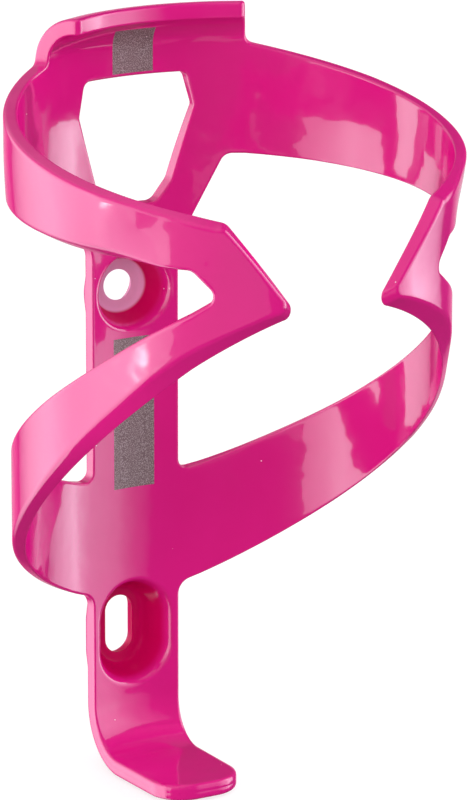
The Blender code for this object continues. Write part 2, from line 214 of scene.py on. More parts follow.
# Corners of half the window, from the top down: half width, height and radius.
window_half = [(0.0104, WINDOW_TOP, 0.0015), (0.0118, WINDOW_TOP - 0.0062, 0.0012),
               (0.0077, WINDOW_BASE + 0.0039, 0.0030), (0.0048, WINDOW_BASE, 0.0022)]
BOLT_HOLE = 0.0055
SLOT_LENGTH = 0.0108
SLOT_STRAIGHT = SLOT_LENGTH - BOLT_HOLE


def mirrored(points):
    """The polyline of the other half: distances change sign and the order turns round."""
    return points[::-1] * (-1.0, 1.0)


def stadium(radius, straight, height):
    """Closed outline of a circle of a radius, drawn out along the height by a straight length."""
    arc = np.linspace(0.0, math.pi, 40)
    top = np.stack([radius * np.cos(arc), height + straight / 2 + radius * np.sin(arc)], -1)
    bottom = np.stack([-radius * np.cos(arc), height - straight / 2 - radius * np.sin(arc)], -1)
    return np.concatenate([top, bottom, top[:1]])


BACK, LEFT, RIGHT = 0, 1, 2


def outline(*stretches):
    """Closed loop of points with material on its right, and the piece that owns the step after each."""
    points = np.concatenate([stepped(p) for p, owner in stretches])
    owners = np.concatenate([np.full(len(stepped(p)), owner) for p, owner in stretches])
    return points, owners


window = window_half + [(-s, z, r) for s, z, r in window_half[::-1]]
window_loop = rounded(window)[::-1]
outlines = [
    outline((top_side, BACK), (arm_outside, RIGHT), (foot_side, BACK),
            (mirrored(foot_side), BACK), (mirrored(arm_outside), LEFT), (mirrored(top_side), BACK)),
    outline((spine_side, BACK), (arm_inside, RIGHT)),
    outline((mirrored(spine_side), BACK), (mirrored(arm_inside), LEFT)),
    outline((np.concatenate([window_loop, window_loop[:1]]), BACK)),
    outline((stadium(BOLT_HOLE / 2, 0.0, BOLT_HEIGHT), BACK)),
    outline((stadium(BOLT_HOLE / 2, SLOT_STRAIGHT, -BOLT_HEIGHT), BACK)),
]


# Bending the sheet: round the bottle, in towards the front so that the arms grip, over at the crown to make
# the lip, and forward at the foot. The dishes for the bolt heads are pressed into the spine from the front.
UPPER_CLOSE = (0.0031, 117.0, 37.0, 1.5)
LOWER_CLOSE = (0.0061, 130.0, 18.0, 1.2)
CLOSE_BLEND = (0.044, 0.066)
CLOSE_EASE = 12.0
LOWER_WALL = 0.0025
SQUARE_HALF = 0.0080
RADIAL_HALF = 0.0140


def smooth(share):
    """Smoothstep of a share clipped to 0 and 1."""
    share = np.clip(share, 0.0, 1.0)
    return share * share * (3 - 2 * share)


def closing(angle, reach, start, end, power):
    """How far an arm has closed in: a power of the angle past start, eased in over CLOSE_EASE degrees."""
    past = start - angle
    eased = 0.5 * (past + np.sqrt(past * past + CLOSE_EASE * CLOSE_EASE))
    return reach * (eased / (start - end)) ** power


def upper_share(height):
    """Share of the upper arm's closing at a height: a smoothstep over the heights of CLOSE_BLEND."""
    return smooth((height - CLOSE_BLEND[0]) / (CLOSE_BLEND[1] - CLOSE_BLEND[0]))


def bend(flat, depth):
    """Point of the bent sheet at a flat place and a depth out from the face that touches the bottle.

    Round the bottle it is a circle whose radius shrinks by closing; past LIP_START a quarter turn of radius
    LIP_BEND leans in; below SPINE_BOTTOM a quarter turn of radius FOOT_BEND leads forward to a flat run, and
    the hollow of the spine fades out on the way. Depth runs straight back on the spine and radially beyond.
    """
    s = flat[..., 0]
    z = flat[..., 1]
    turn = s / RING_RADIUS
    angle = 180.0 - np.degrees(np.abs(turn))
    upper = closing(angle, *UPPER_CLOSE)
    lower = closing(angle, *LOWER_CLOSE)
    lip = np.clip((z - LIP_START) / LIP_BEND, 0.0, math.pi / 2)
    lip_flat = np.clip(z - LIP_START - LIP_BEND * math.pi / 2, 0.0, None)
    radius = RING_RADIUS - lower + (lower - upper) * upper_share(z)
    radius = radius - LIP_BEND * (1 - np.cos(lip)) - lip_flat
    across = turn * smooth((np.abs(s) - SQUARE_HALF) / (RADIAL_HALF - SQUARE_HALF))
    x = radius * np.sin(turn) + depth * np.sin(across) * np.cos(lip)
    y = AXIS_Y + radius * np.cos(turn) + depth * np.cos(across) * np.cos(lip)
    height = np.minimum(z, LIP_START) + LIP_BEND * np.sin(lip) + depth * np.sin(lip)
    front = AXIS_Y + RING_RADIUS
    foot = np.clip((SPINE_BOTTOM - z) / FOOT_BEND, 0.0, math.pi / 2)
    run = np.clip(SPINE_BOTTOM - z - FOOT_BEND * math.pi / 2, 0.0, None)
    hollow = (front - AXIS_Y - radius * np.cos(turn)) * (1 - smooth(foot / (math.pi / 2)))
    foot_y = front - FOOT_BEND * (1 - np.cos(foot)) - run - np.cos(foot) * (hollow - depth)
    foot_z = SPINE_BOTTOM - FOOT_BEND * np.sin(foot) + np.sin(foot) * (hollow - depth)
    on_foot = z < SPINE_BOTTOM
    return np.stack([x, np.where(on_foot, foot_y, y), np.where(on_foot, foot_z, height)], -1)


def soft_max(a, b, reach):
    """The larger of two, rounded off where they lie within reach of each other."""
    near = np.clip(reach - np.abs(a - b), 0.0, None) / reach
    return np.maximum(a, b) + near * near * reach / 4


DISH_RADIUS = 0.0070
DISH_DRAFT = 0.0020
DISH_LIP = 0.0018
DISH_FLOOR = -0.0028
DISH_FLOOR_ROUND = 0.0022
DISH_DEPTH = DISH_FLOOR + SPINE_WALL + BOSS_DEPTH
BOSS_FACE_HALF = 0.0052
BOSS_FOOT_HALF = 0.0085
BOSS_ROUND = 0.0008
UPPER_DRAFT = 0.045
DRAFT_START = 0.008
DRAFT_END = 0.012
WALL_EASE = 0.012
WAISTS = (0.00115, 0.0009)
WAIST_PLACES = (0.075, 0.085)
WAIST_REACH = 0.009
TIP_THINNING = 0.0003
TIP_THINNING_REACH = 0.014
SPINE_SPAN = 0.03


def dish_distance(flat):
    """Distance from the middle of the nearer dish: a point for the upper one, a short line for the lower."""
    x = RING_RADIUS * np.sin(flat[..., 0] / RING_RADIUS)
    z = flat[..., 1]
    over = np.clip(np.abs(z + BOLT_HEIGHT) - SLOT_STRAIGHT / 2, 0.0, None)
    return np.minimum(np.hypot(x, z - BOLT_HEIGHT), np.hypot(x, over))


def spine_front(flat):
    """How far back the spine's bottle side lies: a circle of RING_RADIUS, held past SPINE_SPAN each way."""
    x = RING_RADIUS * np.sin(np.clip(flat[..., 0], -SPINE_SPAN, SPINE_SPAN) / RING_RADIUS)
    return AXIS_Y + np.sqrt(RING_RADIUS ** 2 - x * x)


def front_depth(flat):
    """Depth of the bottle side: the draft of the upper arms, and a cone down to a flat floor in each dish.

    The draft is a slope about the band's middle height, eased in at the root and out before the nose.
    """
    s = np.abs(flat[..., 0])
    middle = (upper_top(s) + upper_bottom(s)) / 2
    draft = UPPER_DRAFT * (flat[..., 1] - middle) * upper_share(flat[..., 1])
    draft = draft * smooth((s - UPPER_ROOT) / DRAFT_START)
    draft = draft * (1 - smooth((s - NOSE_START + DRAFT_END) / DRAFT_END))
    distance = dish_distance(flat)
    slope = DISH_DEPTH / DISH_DRAFT
    cone = DISH_FLOOR - (distance - DISH_RADIUS + DISH_DRAFT) * slope
    dish = -soft_max(-cone, np.full_like(cone, -DISH_FLOOR), DISH_FLOOR_ROUND)
    return draft + soft_max(np.zeros_like(dish), dish - spine_front(flat), DISH_LIP)


def back_depth(flat):
    """Depth of the outer side: the wall, thinner on the lower arms, and a tapered boss behind each dish.

    A bell curve of the distance takes a waist off each arm, and a smoothstep thins the wall to the tip.
    """
    beside = np.abs(flat[..., 0]) - LOWER_ROOT
    arm = LOWER_WALL + (CROWN_WALL - LOWER_WALL) * upper_share(flat[..., 1])
    wall = SPINE_WALL + (arm - SPINE_WALL) * smooth(beside / WALL_EASE)
    down_foot = smooth((SPINE_BOTTOM - flat[..., 1]) / (FOOT_BEND * math.pi / 2))
    wall = wall + (FOOT_WALL - SPINE_WALL) * down_foot
    place = WAIST_PLACES[0] + (WAIST_PLACES[1] - WAIST_PLACES[0]) * upper_share(flat[..., 1])
    waist = WAISTS[0] + (WAISTS[1] - WAISTS[0]) * upper_share(flat[..., 1])
    wall = wall - waist * np.exp(-((np.abs(flat[..., 0]) - place) / WAIST_REACH) ** 2)
    wall = wall - TIP_THINNING * smooth((np.abs(flat[..., 0]) - NOSE_START) / TIP_THINNING_REACH)
    slope = BOSS_DEPTH / (BOSS_FOOT_HALF - BOSS_FACE_HALF)
    cone = -(dish_distance(flat) - BOSS_FACE_HALF) * slope
    boss = -soft_max(-cone, np.zeros_like(cone), BOSS_ROUND)
    return soft_max(wall, boss - spine_front(flat), BOSS_ROUND)


EDGE_INSET = 0.00095
BEVEL_REACH = 0.0068
TOP_BEVEL = 0.0011
SLANT_BEVEL = 0.0005
UNDER_BEVEL = 0.0016
LOWER_BEVEL_PLACES = (0.009, 0.030, 0.048, 0.056, 0.062, 0.068, 0.075, 0.080, 0.090, 0.110)
LOWER_BEVELS = (0.0, 0.0005, 0.0006, 0.0009, 0.0014, 0.0020, 0.0026, 0.0029, 0.0030, 0.0022)
HOLE_FLARES = (0.0014, 0.0006)
HOLE_FLARE_REACH = 0.0034
BROW_EASE = 0.004
TOP_BEVEL_START = 115.0
TOP_BEVEL_SPAN = 78.0
LEAST_LEAN = 0.3
LEAST_RADIUS = 1e-6
TIP_TURN = 0.003
UNDER_START = 0.012
UNDER_END = 0.016


def falling(distance):
    """1 within EDGE_INSET of an edge, easing to 0 at BEVEL_REACH from it, and 0 on its far side."""
    return (1 - smooth((distance - EDGE_INSET) / (BEVEL_REACH - EDGE_INSET))) * (distance > -EDGE_INSET)


def below(function, s, z):
    """Distance of a place below a curve, and the unit direction away from the curve there."""
    step = 1e-5
    slope = (function(s + step) - function(s - step)) / (2 * step)
    size = np.sqrt(1 + slope * slope)
    return (function(s) - z) / size, np.stack([slope / size, -1 / size], -1)


def lower_edge(s):
    """Lower edge of a whole arm: the lower arm's as far as the nose, and the underside from there."""
    return np.where(s < NOSE_START, lower_bottom(s), underside(s))


def shear(flat):
    """How far the outer side's edges stand back from the bottle side's, so that every band tapers outwards.

    Each edge has a bevel that points away from it and falls off with the distance: the top, the slant of the
    nose, the lower edge, which turns along the slant towards the tip, and the upper arm's underside. Round a
    bolt hole the flare points outwards and falls off over HOLE_FLARE_REACH.
    """
    s = np.abs(flat[..., 0])
    z = flat[..., 1]
    angle = 180.0 - np.degrees(s / RING_RADIUS)
    top, top_way = below(upper_top, s, z)
    slant_line = np.array([NOSE_TIP - BROW[0], NOSE_TIP_HEIGHT - BROW[1]])
    slant_way = np.array([slant_line[1], -slant_line[0]]) / np.linalg.norm(slant_line)
    slant = (np.stack([s, z], -1) - np.array(BROW)) @ slant_way
    past_brow = smooth((s - BROW[0] + BROW_EASE / 2) / BROW_EASE)
    grown = np.clip((TOP_BEVEL_START - angle) / TOP_BEVEL_SPAN, 0.0, 1.0)
    top_amount = TOP_BEVEL * grown * falling(top) * (1 - past_brow)
    slant_amount = SLANT_BEVEL * falling(slant) * past_brow
    low, low_way = below(lower_edge, s, z)
    low_amount = np.interp(s, LOWER_BEVEL_PLACES, LOWER_BEVELS) * falling(-low)
    up_slant = -slant_line / np.linalg.norm(slant_line)
    along = up_slant / np.clip(-(low_way @ up_slant), LEAST_LEAN, None)[..., None]
    to_tip = smooth((s - NOSE_START) / (NOSE_TIP - NOSE_START - TIP_TURN))[..., None]
    low_way = low_way * (1 - to_tip) - along * to_tip
    under, under_way = below(upper_bottom, s, z)
    under_size = UNDER_BEVEL * smooth((s - UPPER_ROOT) / UNDER_START)
    under_size = under_size * (1 - smooth((s - NOSE_START + UNDER_END) / UNDER_START))
    under_amount = under_size * falling(-under)
    shift = (top_way * top_amount[..., None] + slant_way * slant_amount[..., None]
             - low_way * low_amount[..., None] - under_way * under_amount[..., None])
    shift = shift * np.stack([np.sign(flat[..., 0]), np.ones_like(s)], -1)
    past_slot = np.clip(np.abs(z + BOLT_HEIGHT) - SLOT_STRAIGHT / 2, 0.0, None)
    beyond = np.where(z > 0, z - BOLT_HEIGHT, np.sign(z + BOLT_HEIGHT) * past_slot)
    radius = np.hypot(s, beyond)
    flare = np.where(z > 0, *HOLE_FLARES) * (1 - smooth((radius - BOLT_HOLE / 2) / HOLE_FLARE_REACH))
    outward = np.stack([flat[..., 0], beyond], -1) / np.maximum(radius, LEAST_RADIUS)[..., None]
    return shift + outward * flare[..., None]


# Meshing the sheet: rows of points run along every edge, over its rounded corners from the bottle side to
# the outer side, and even triangles fill the sheet between them. The one skin is then cut at the arm roots,
# so that the back and the two arms meet without a seam.
GRID_STEP = 0.0009
INNER_ROUND = 0.0005
OUTER_ROUND = 0.0007
FOOT_ROUND = 0.0009
HOLE_ROUND = 0.00025
HOLE_INSET = 0.0005
PARTING_HALF = 0.00006
PARTING_DEPTH = 0.000035
ROUND_STEPS = 6
FOOT_EASE = 0.010

edge_points = np.concatenate([p for p, owners in outlines])
edge_owner = np.concatenate([owners for p, owners in outlines])
loop_sizes = [len(p) for p, owners in outlines]
loop_starts = np.cumsum([0] + loop_sizes[:-1])
following = np.concatenate([np.roll(np.arange(n), -1) + a for a, n in zip(loop_starts, loop_sizes)])
leading = np.concatenate([np.roll(np.arange(n), 1) + a for a, n in zip(loop_starts, loop_sizes)])
tangent = edge_points[following] - edge_points[leading]
tangent = tangent / np.linalg.norm(tangent, axis=1, keepdims=True)
inward = np.stack([tangent[:, 1], -tangent[:, 0]], -1)
is_hole = np.arange(len(edge_points)) >= loop_starts[-2]
inset = np.where(is_hole, HOLE_INSET, EDGE_INSET)
on_foot = smooth((SPINE_BOTTOM - edge_points[:, 1]) / FOOT_EASE)
inner_round = np.where(is_hole, HOLE_ROUND, INNER_ROUND + (FOOT_ROUND - INNER_ROUND) * on_foot)
outer_round = np.where(is_hole, HOLE_ROUND, OUTER_ROUND + (FOOT_ROUND - OUTER_ROUND) * on_foot)
parting = PARTING_DEPTH * on_foot

lean = shear(edge_points)
wall = back_depth(edge_points + lean) - front_depth(edge_points)
slope_length = np.sqrt((lean ** 2).sum(-1) + wall ** 2)
lean_way = lean / slope_length[:, None]
wall_way = wall / slope_length
t = np.linspace(0.0, 1.0, ROUND_STEPS + 1)
here = edge_points[:, None, :]
inner_flat = (here + inward[:, None, :] * ((1 - t) ** 2)[None, :, None] * inner_round[:, None, None]
              + lean_way[:, None, :] * (t ** 2)[None, :, None] * inner_round[:, None, None])
inner_off = wall_way[:, None] * t ** 2 * inner_round[:, None]
parting_rows = np.array([-1.0, 0.0, 1.0]) * PARTING_HALF
middle_share = 0.5 + parting_rows[None, :] / wall[:, None]
groove = np.array([0.0, 1.0, 0.0])
middle_flat = (here + lean[:, None, :] * middle_share[:, :, None]
               + inward[:, None, :] * groove[None, :, None] * parting[:, None, None])
middle_off = wall[:, None] * middle_share
outer_flat = (here + lean[:, None, :]
              - lean_way[:, None, :] * ((1 - t) ** 2)[None, :, None] * outer_round[:, None, None]
              + inward[:, None, :] * (t ** 2)[None, :, None] * outer_round[:, None, None])
outer_off = wall_way[:, None] * (1 - t) ** 2 * outer_round[:, None]
inset_flat = edge_points + inward * inset[:, None]
inset_outer = inset_flat + shear(inset_flat)
front_flat = np.concatenate([inset_flat[:, None, :], inner_flat, middle_flat], axis=1)
front_off = np.concatenate([np.zeros((len(edge_points), 1)), inner_off, middle_off], axis=1)
rear_flat = np.concatenate([outer_flat, inset_outer[:, None, :]], axis=1)
rear_off = np.concatenate([outer_off, np.zeros((len(edge_points), 1))], axis=1)
edge_rows = np.concatenate([bend(front_flat, front_depth(front_flat) + front_off),
                            bend(rear_flat, back_depth(rear_flat) - rear_off)], axis=1)
rows = edge_rows.shape[1]


CHUNK = 3000


def inside(points, loops):
    """Which points lie inside the pattern, by counting the edges that a ray along the distance crosses."""
    crossings = np.zeros(len(points), int)
    for loop in loops:
        a = loop
        b = np.roll(loop, -1, axis=0)
        for chunk in np.array_split(np.arange(len(points)), max(1, len(points) // CHUNK)):
            z = points[chunk, 1][:, None]
            spans = (a[None, :, 1] > z) != (b[None, :, 1] > z)
            slope = (b[:, 0] - a[:, 0]) / np.where(b[:, 1] == a[:, 1], 1.0, b[:, 1] - a[:, 1])
            at = a[None, :, 0] + (z - a[None, :, 1]) * slope[None, :]
            crossings[chunk] += (spans & (points[chunk, 0][:, None] < at)).sum(1)
    return crossings % 2 == 1


def clearance(points):
    """Distance of each point from the nearest point of the pattern's edges, beyond the inset there."""
    nearest = np.full(len(points), np.inf)
    for chunk in np.array_split(np.arange(len(points)), max(1, len(points) // CHUNK)):
        apart = points[chunk][:, None, :] - edge_points[None, :, :]
        nearest[chunk] = (np.sqrt((apart ** 2).sum(-1)) - inset[None, :]).min(1)
    return nearest


# The sheet is filled by a grid of even triangles, clear of its edges and dishes, mirrored across the spine.
DISH_CLEAR = 0.0096
low_corner = edge_points.min(0)
high_corner = edge_points.max(0)
row_step = GRID_STEP * math.sqrt(3) / 2
row_heights = np.arange(low_corner[1], high_corner[1], row_step)
row_places = np.arange(0.0, high_corner[0], GRID_STEP)
grid = np.stack(np.meshgrid(row_places, row_heights), -1)
grid[1::2, :, 0] += GRID_STEP / 2
grid = grid.reshape(-1, 2)
grid = grid[inside(grid, [p for p, owners in outlines])]
grid = grid[(clearance(grid) > GRID_STEP / 2) & (dish_distance(grid) > DISH_CLEAR)]
grid = np.concatenate([grid, (grid * (-1.0, 1.0))[grid[:, 0] > GRID_STEP / 4]])

# Rings of points follow each dish outwards from its bolt hole.
FIRST_RING = 0.0003
LAST_RING = 0.0094
RING_STEP = 0.00025
RING_CLEAR = 0.00022
rings = []
for ring_radius in np.arange(BOLT_HOLE / 2 + HOLE_INSET + FIRST_RING, LAST_RING, RING_STEP):
    for straight, height in ((0.0, BOLT_HEIGHT), (SLOT_STRAIGHT, -BOLT_HEIGHT)):
        rings.append(stepped(stadium(ring_radius, straight, height)))
rings = np.concatenate(rings)
rings = rings[clearance(rings) > RING_CLEAR]


def cut_line(first, last):
    """Points across the sheet between the inset rows at two edge points, close enough to stay an edge."""
    count = int(np.linalg.norm(inset_flat[last] - inset_flat[first]) / EDGE_STEP)
    share = np.linspace(0.0, 1.0, count + 1)[1:-1, None]
    return inset_flat[first] * (1 - share) + inset_flat[last] * share


# Each arm is cut at its upper and its lower root, between the edge points where the owner changes.
ROOTS_DIVIDE = 0.0420
changes = np.nonzero(edge_owner != edge_owner[leading])[0]
cuts = []
for owner in (LEFT, RIGHT):
    ends = [i for i in changes if owner in (edge_owner[i], edge_owner[leading[i]])]
    ends.sort(key=lambda i: -edge_points[i, 1])
    cuts.append((owner, ends[0], ends[1]))
    cuts.append((owner, ends[2], ends[3]))
cut_points = [cut_line(first, last) for owner, first, last in cuts]
keep = np.ones(len(grid), bool)
for line in cut_points:
    apart = np.sqrt(((grid[:, None, :] - line[None, :, :]) ** 2).sum(-1)).min(1)
    keep &= apart > GRID_STEP / 2
grid = grid[keep]
sheet = np.concatenate([grid, rings] + cut_points)
cut_starts = len(grid) + len(rings) + np.cumsum([0] + [len(line) for line in cut_points[:-1]])

# The flat sheet is triangulated in millimetres, and triangles that bridge a hole or a notch are dropped.
MILLIMETRES = 1000.0
MERGE_WITHIN = 1e-7
TRIANGLES_INSIDE = 2
flat_all = np.concatenate([inset_flat, sheet]) * MILLIMETRES
constraints = [(int(a), int(b)) for a, b in enumerate(following)]
flat_vectors = [Vector(v) for v in flat_all.tolist()]
found = delaunay_2d_cdt(flat_vectors, constraints, [], TRIANGLES_INSIDE, MERGE_WITHIN)
triangles = np.array([ids[0] for ids in found[3]])[np.array(found[2])]
on_edge = np.nonzero((triangles < len(edge_points)).all(1))[0]
centres = flat_all[triangles[on_edge]].mean(1) / MILLIMETRES
dropped = on_edge[~inside(centres, np.split(inset_flat, loop_starts[1:]))]
triangles = np.delete(triangles, dropped, axis=0)
centres = flat_all[triangles].mean(1) / MILLIMETRES
cut = np.where(centres[:, 1] > ROOTS_DIVIDE, CUT_UPPER, CUT_LOWER)
face_owner = np.where(centres[:, 0] > cut, RIGHT, np.where(centres[:, 0] < -cut, LEFT, BACK))

# The triangles are laid on both sides of the bent sheet, and strips over the edge rows join the two.
sheet_front = bend(sheet, front_depth(sheet))
sheet_outer = sheet + shear(sheet)
sheet_rear = bend(sheet_outer, back_depth(sheet_outer))
count = len(edge_points)
points = np.concatenate([edge_rows.reshape(-1, 3), sheet_front, sheet_rear])
front_of_sheet = count * rows + np.arange(len(sheet))
front_index = np.concatenate([np.arange(count) * rows, front_of_sheet])
rear_index = np.concatenate([np.arange(count) * rows + rows - 1, front_of_sheet + len(sheet)])
front_faces = front_index[triangles]
rear_faces = rear_index[triangles[:, ::-1]]
k = np.arange(rows - 1)[None, :]
row_here = (np.arange(count) * rows)[:, None]
row_next = (following * rows)[:, None]
strips = np.stack([row_here + k, row_next + k, row_next + k + 1, row_here + k + 1], -1).reshape(-1, 4)
strip_owner = np.repeat(edge_owner, rows - 1)

# A point's normal is the sum of the normals of the faces round it, each weighted by its area.
corners = points[np.concatenate([front_faces, rear_faces, strips[:, :3], strips[:, [0, 2, 3]]])]
weighted = np.cross(corners[:, 1] - corners[:, 0], corners[:, 2] - corners[:, 0])
normals = np.zeros_like(points)
for first, second in ((0, 0), (1, 2), (2, 3)):
    ids = np.concatenate([front_faces[:, first], rear_faces[:, first], strips[:, first], strips[:, second]])
    np.add.at(normals, ids, weighted)
normals = normals / np.linalg.norm(normals, axis=1, keepdims=True)

# The material reads how far down a dish a point of the bottle side lies, as a share of the dish's depth,
# and by it paints shade into the dishes and light onto the upper dish's floor.
edge_dish = np.clip(front_depth(edge_points) / DISH_DEPTH, 0.0, 1.0)
edge_dish = np.repeat(edge_dish[:, None], rows, axis=1) * (np.arange(rows) < front_flat.shape[1])
sheet_dish = np.clip(front_depth(sheet) / DISH_DEPTH, 0.0, 1.0)
dish_share = np.concatenate([edge_dish.ravel(), sheet_dish, np.zeros(len(sheet))])


def cut_caps(owner):
    """Faces that close a piece over its cuts: quads between the two sides and one face at each end."""
    faces = []
    for (arm, first, last), start, line in zip(cuts, cut_starts, cut_points):
        if owner not in (BACK, arm):
            continue
        path = np.concatenate([[first], count + start + np.arange(len(line)), [last]])
        front, rear = front_index[path], rear_index[path]
        ends = [list(first * rows + np.arange(rows))[::-1], list(last * rows + np.arange(rows))]
        quads = np.stack([front[:-1], front[1:], rear[1:], rear[:-1]], -1).tolist() + ends
        outwards = (owner == BACK) == (arm == RIGHT)
        faces += quads if outwards else [quad[::-1] for quad in quads]
    return faces


def skin(name, owner):
    """The part of the skin that one piece owns, closed at its cuts, as a smooth object at the origin."""
    faces = front_faces[face_owner == owner].tolist() + rear_faces[face_owner == owner].tolist()
    faces += strips[strip_owner == owner].tolist() + cut_caps(owner)
    used = np.unique(np.concatenate([np.asarray(face) for face in faces]))
    new_index = np.zeros(len(points), int)
    new_index[used] = np.arange(len(used))
    mesh = bpy.data.meshes.new(name)
    mesh.from_pydata(points[used].tolist(), [], [new_index[face].tolist() for face in faces])
    mesh.attributes.new("dish", "FLOAT", "POINT").data.foreach_set("value", dish_share[used])
    mesh.shade_smooth()
    mesh.normals_split_custom_set_from_vertices(normals[used].tolist())
    piece = bpy.data.objects.new(name, mesh)
    bpy.context.scene.collection.objects.link(piece)
    return piece


# The nylon: dyed through, glossy from a polished mould, with a faint ripple and a little fine dust, with
# painted shade in its dishes and painted light on the upper dish's floor. Two plain patches of flat grey ink
# with metal flake lie on its bottle side, on the crown and down the spine.
PINK = (0.630, 0.0080, 0.195, 1.0)
DEEP_PINK = (0.600, 0.0065, 0.179, 1.0)
# Painted shade: the deeper pink of the dishes' walls and floors stands for the shade in them.
PAINTED_DISH_SHADE = (0.52, 0.0008, 0.085, 1.0)
INK = (0.20, 0.130, 0.140, 1.0)
INK_FLAKE = (0.40, 0.32, 0.33, 1.0)
# Painted light: the paler mauve of the upper dish's floor stands for the light falling on it.
LIT_FLOOR_MAUVE = (0.75, 0.330, 0.550, 1.0)
DUST = (0.95, 0.80, 0.87, 1.0)
CLOUD_SCALE = 180.0
CROWN_PATCH = ((0.0, -0.0094, 0.0759), (0.0041, 0.0015, 0.0040))
SPINE_PATCH = ((0.0, -0.0094, 0.0095), (0.00415, 0.0015, 0.0140))
FLAKE_SCALE, FLAKE_LEVEL, FLAKE_METAL = 6000.0, 0.56, 0.35
WALL_SHARES = (0.12, 0.45)
FLOOR_SHARES = (0.86, 0.97)
FLOOR_BOX = (0.01, 0.01, 0.01)
DUST_SCALE, DUST_SIZE, DUST_LEVEL = 260.0, 0.028, 0.72
SMOOTH_ROUGHNESS, UNEVEN_ROUGHNESS, UNEVEN_SCALE = 0.10, 0.05, 420.0
DULL_ROUGHNESS, LIT_FLOOR_DULLNESS = 0.35, 0.8
COAT_ROUGHNESS = 0.02
COAT_HELD = (0.52, 0.88, 0.97)
SHINE, WALL_SHINE_LOSS = 0.5, 0.42
SHINE_HELD = (0.52, 0.82, 0.98)
RIPPLE_SCALE, RIPPLE_STRENGTH, RIPPLE_HEIGHT = 110.0, 0.40, 0.0004
nylon = bpy.data.materials.new("moulded_nylon")
nylon.use_nodes = True
nodes, links = nylon.node_tree.nodes, nylon.node_tree.links
shader = nodes["Principled BSDF"]
place = nodes.new("ShaderNodeTexCoord").outputs["Object"]


def noise(scale, detail=2.0):
    """Noise over the piece's own coordinates, of a number of features a metre."""
    node = nodes.new("ShaderNodeTexNoise")
    node.inputs["Scale"].default_value = scale
    node.inputs["Detail"].default_value = detail
    links.new(place, node.inputs["Vector"])
    return node.outputs["Fac"]


def maths(operation, first, second, clamp=False):
    """One scalar operation on two sockets or numbers."""
    node = nodes.new("ShaderNodeMath")
    node.operation = operation
    node.use_clamp = clamp
    for slot, value in enumerate((first, second)):
        if isinstance(value, float):
            node.inputs[slot].default_value = value
        else:
            links.new(value, node.inputs[slot])
    return node.outputs["Value"]


def mix(factor, first, second):
    """Blend of two colours, or a colour over a socket, by a factor socket."""
    node = nodes.new("ShaderNodeMix")
    node.data_type = "RGBA"
    links.new(factor, node.inputs["Factor"])
    for name, value in (("A", first), ("B", second)):
        socket = [item for item in node.inputs if item.name == name and item.type == "RGBA"][0]
        if isinstance(value, tuple):
            socket.default_value = value
        else:
            links.new(value, socket)
    return [item for item in node.outputs if item.type == "RGBA"][0]


def within(centre, half):
    """1 inside a box round a centre and 0 outside it."""
    apart = nodes.new("ShaderNodeVectorMath")
    apart.operation = "SUBTRACT"
    apart.inputs[1].default_value = centre
    links.new(place, apart.inputs[0])
    size = nodes.new("ShaderNodeVectorMath")
    size.operation = "ABSOLUTE"
    links.new(apart.outputs["Vector"], size.inputs[0])
    over = nodes.new("ShaderNodeVectorMath")
    over.operation = "SUBTRACT"
    over.inputs[1].default_value = half
    links.new(size.outputs["Vector"], over.inputs[0])
    axes = nodes.new("ShaderNodeSeparateXYZ")
    links.new(over.outputs["Vector"], axes.inputs["Vector"])
    widest = maths("MAXIMUM", maths("MAXIMUM", axes.outputs["X"], axes.outputs["Y"]), axes.outputs["Z"])
    return maths("LESS_THAN", widest, 0.0)


ink = maths("MAXIMUM", within(*CROWN_PATCH), within(*SPINE_PATCH))
flake = maths("GREATER_THAN", noise(FLAKE_SCALE, 0.0), FLAKE_LEVEL)
depth = nodes.new("ShaderNodeAttribute")
depth.attribute_name = "dish"


def between(low, high):
    """Smooth step of the share of a dish's depth."""
    node = nodes.new("ShaderNodeMapRange")
    node.interpolation_type = "SMOOTHSTEP"
    node.inputs["From Min"].default_value = low
    node.inputs["From Max"].default_value = high
    links.new(depth.outputs["Fac"], node.inputs["Value"])
    return node.outputs["Result"]


# The walls and floors of the dishes, painted in shade below, and the floor of the upper dish, painted in
# light.
shaded_walls = between(*WALL_SHARES)
lit_floor = maths("MULTIPLY", between(*FLOOR_SHARES), within((0.0, 0.0, BOLT_HEIGHT), FLOOR_BOX))
dust = nodes.new("ShaderNodeTexVoronoi")
dust.inputs["Scale"].default_value = DUST_SCALE
links.new(place, dust.inputs["Vector"])
chance = nodes.new("ShaderNodeSeparateColor")
links.new(dust.outputs["Color"], chance.inputs["Color"])
speck = maths("MULTIPLY", maths("LESS_THAN", dust.outputs["Distance"], DUST_SIZE),
              maths("GREATER_THAN", chance.outputs["Red"], DUST_LEVEL))

# Painted shade darkens the dishes to a deeper pink, and painted light turns the upper dish's floor a paler
# mauve.
colour = mix(noise(CLOUD_SCALE), PINK, DEEP_PINK)
colour = mix(lit_floor, mix(shaded_walls, colour, PAINTED_DISH_SHADE), LIT_FLOOR_MAUVE)
colour = mix(ink, colour, mix(flake, INK, INK_FLAKE))
colour = mix(speck, colour, DUST)
links.new(colour, shader.inputs["Base Color"])
# The upper dish's floor, painted in light, is also made duller.
dull = maths("MAXIMUM", ink, maths("MULTIPLY", lit_floor, LIT_FLOOR_DULLNESS))
uneven = maths("ADD", maths("MULTIPLY", noise(UNEVEN_SCALE), UNEVEN_ROUGHNESS), SMOOTH_ROUGHNESS)
links.new(maths("ADD", maths("MULTIPLY", dull, DULL_ROUGHNESS), uneven), shader.inputs["Roughness"])
edge_on = nodes.new("ShaderNodeLayerWeight").outputs["Facing"]


def held(low, high, most):
    """1 where the surface is seen square on, easing to 1 - most where it is seen edge on."""
    node = nodes.new("ShaderNodeMapRange")
    node.interpolation_type = "SMOOTHSTEP"
    node.inputs["From Min"].default_value = low
    node.inputs["From Max"].default_value = high
    node.inputs["To Min"].default_value = 1.0
    node.inputs["To Max"].default_value = 1.0 - most
    links.new(edge_on, node.inputs["Value"])
    return node.outputs["Result"]


